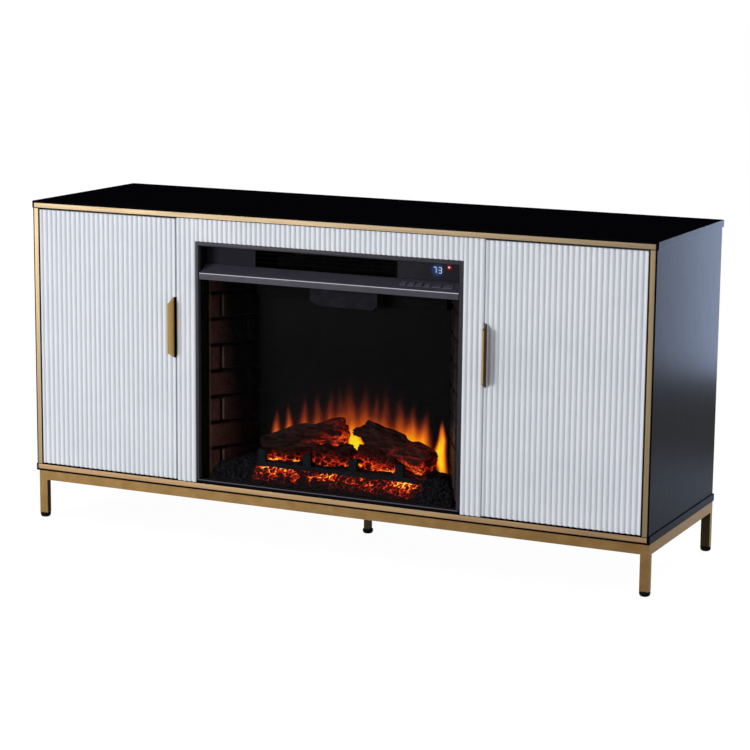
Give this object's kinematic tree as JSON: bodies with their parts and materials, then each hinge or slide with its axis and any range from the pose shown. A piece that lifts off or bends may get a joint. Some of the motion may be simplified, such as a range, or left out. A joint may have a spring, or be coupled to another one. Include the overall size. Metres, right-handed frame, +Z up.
{
  "type": "fireplace tv stand",
  "caption": "Wide low cabinet on a slim tube base, with reeded side doors and an electric firebox with logs in the middle.",
  "frame": {"origin": "on the floor under the middle of the stand's bounding box", "axes": "+Z up, +X along the width to the right seen from the front, and the front with the doors faces -Y"},
  "size_m": [1.372, 0.427, 0.68],
  "materials": {
    "black_laminate": "satin",
    "white_lacquer": "satin",
    "pale_gold": "satin",
    "bronze_gold": "satin",
    "zinc": "satin",
    "charcoal_paint": "satin",
    "black_sheet": "matte",
    "clear_glass": "polished",
    "dark_glass": "gloss",
    "soft_black": "matte",
    "brick_moulding": "matte",
    "screen_film": "satin",
    "ember_resin": "matte",
    "log_resin": "matte",
    "black_rubber": "matte"
  },
  "bodies": {
    "cabinet": {"top_panel": "black_laminate", "bottom_panel": "black_laminate", "left_side_panel": "black_laminate", "right_side_panel": "black_laminate", "left_divider": "black_laminate", "right_divider": "black_laminate", "left_back_panel": "black_laminate", "right_back_panel": "black_laminate", "left_shelf": "black_laminate", "right_shelf": "black_laminate", "top_trim": "pale_gold", "bottom_trim": "pale_gold", "left_trim": "pale_gold", "right_trim": "pale_gold", "left_stile": "white_lacquer", "right_stile": "white_lacquer", "header_panel": "white_lacquer", "left_lower_hinge_arm": "zinc", "left_upper_hinge_arm": "zinc", "right_lower_hinge_arm": "zinc", "right_upper_hinge_arm": "zinc", "base_frame": "bronze_gold", "middle_leg": "bronze_gold", "left_front_foot": "black_rubber", "right_front_foot": "black_rubber", "left_back_foot": "black_rubber", "right_back_foot": "black_rubber", "middle_foot": "black_rubber", "firebox_bezel": "charcoal_paint", "front_glass": "clear_glass", "firebox_casing": "black_sheet", "hood": "charcoal_paint", "outlet_panel": "black_sheet", "display_panel": "dark_glass", "heater_element": "zinc", "left_brick_panel": "brick_moulding", "right_brick_panel": "brick_moulding", "flame_screen": "screen_film", "lamp_cover": "black_sheet", "left_log": "log_resin", "right_log": "log_resin", "grate": "black_sheet", "ember_bed": "ember_resin", "cord_gland": "black_rubber"},
    "left_door": {"left_door": "white_lacquer", "left_pull": "bronze_gold", "left_lower_hinge_cup": "zinc", "left_upper_hinge_cup": "zinc"},
    "right_door": {"right_door": "white_lacquer", "right_pull": "bronze_gold", "right_lower_hinge_cup": "zinc", "right_upper_hinge_cup": "zinc"},
    "button_1": {"button_1": "soft_black"},
    "button_2": {"button_2": "soft_black"},
    "button_3": {"button_3": "soft_black"},
    "button_4": {"button_4": "soft_black"},
    "button_5": {"button_5": "soft_black"},
    "button_6": {"button_6": "soft_black"},
    "flame_spindle": {"flame_spindle": "zinc"},
    "blower_wheel": {"blower_wheel": "soft_black"}
  },
  "joints": [
    {"name": "left_door_hinge", "type": "hinge", "parent": "cabinet", "child": "left_door", "pos_m": [-0.666, -0.1925, 0.392], "axis": [0, 0, -1], "range_deg": [0, 105]},
    {"name": "right_door_hinge", "type": "hinge", "parent": "cabinet", "child": "right_door", "pos_m": [0.666, -0.1925, 0.392], "axis": [0, 0, 1], "range_deg": [0, 105]},
    {"name": "button_1_press", "type": "slide", "parent": "cabinet", "child": "button_1", "axis": [0, 0.4537, -0.8912], "range_m": [0, 0.001], "stiffness_N_per_m": 300, "springref_m": -0.002},
    {"name": "button_2_press", "type": "slide", "parent": "cabinet", "child": "button_2", "axis": [0, 0.4537, -0.8912], "range_m": [0, 0.001], "stiffness_N_per_m": 300, "springref_m": -0.002},
    {"name": "button_3_press", "type": "slide", "parent": "cabinet", "child": "button_3", "axis": [0, 0.4537, -0.8912], "range_m": [0, 0.001], "stiffness_N_per_m": 300, "springref_m": -0.002},
    {"name": "button_4_press", "type": "slide", "parent": "cabinet", "child": "button_4", "axis": [0, 0.4537, -0.8912], "range_m": [0, 0.001], "stiffness_N_per_m": 300, "springref_m": -0.002},
    {"name": "button_5_press", "type": "slide", "parent": "cabinet", "child": "button_5", "axis": [0, 0.4537, -0.8912], "range_m": [0, 0.001], "stiffness_N_per_m": 300, "springref_m": -0.002},
    {"name": "button_6_press", "type": "slide", "parent": "cabinet", "child": "button_6", "axis": [0, 0.4537, -0.8912], "range_m": [0, 0.001], "stiffness_N_per_m": 300, "springref_m": -0.002},
    {"name": "flame_spindle_turn", "type": "hinge", "parent": "cabinet", "child": "flame_spindle", "pos_m": [0, -0.03438, 0.179], "axis": [1, 0, 0], "continuous": true},
    {"name": "blower_turn", "type": "hinge", "parent": "cabinet", "child": "blower_wheel", "pos_m": [0, -0.06175, 0.5779], "axis": [1, 0, 0], "continuous": true}
  ]
}
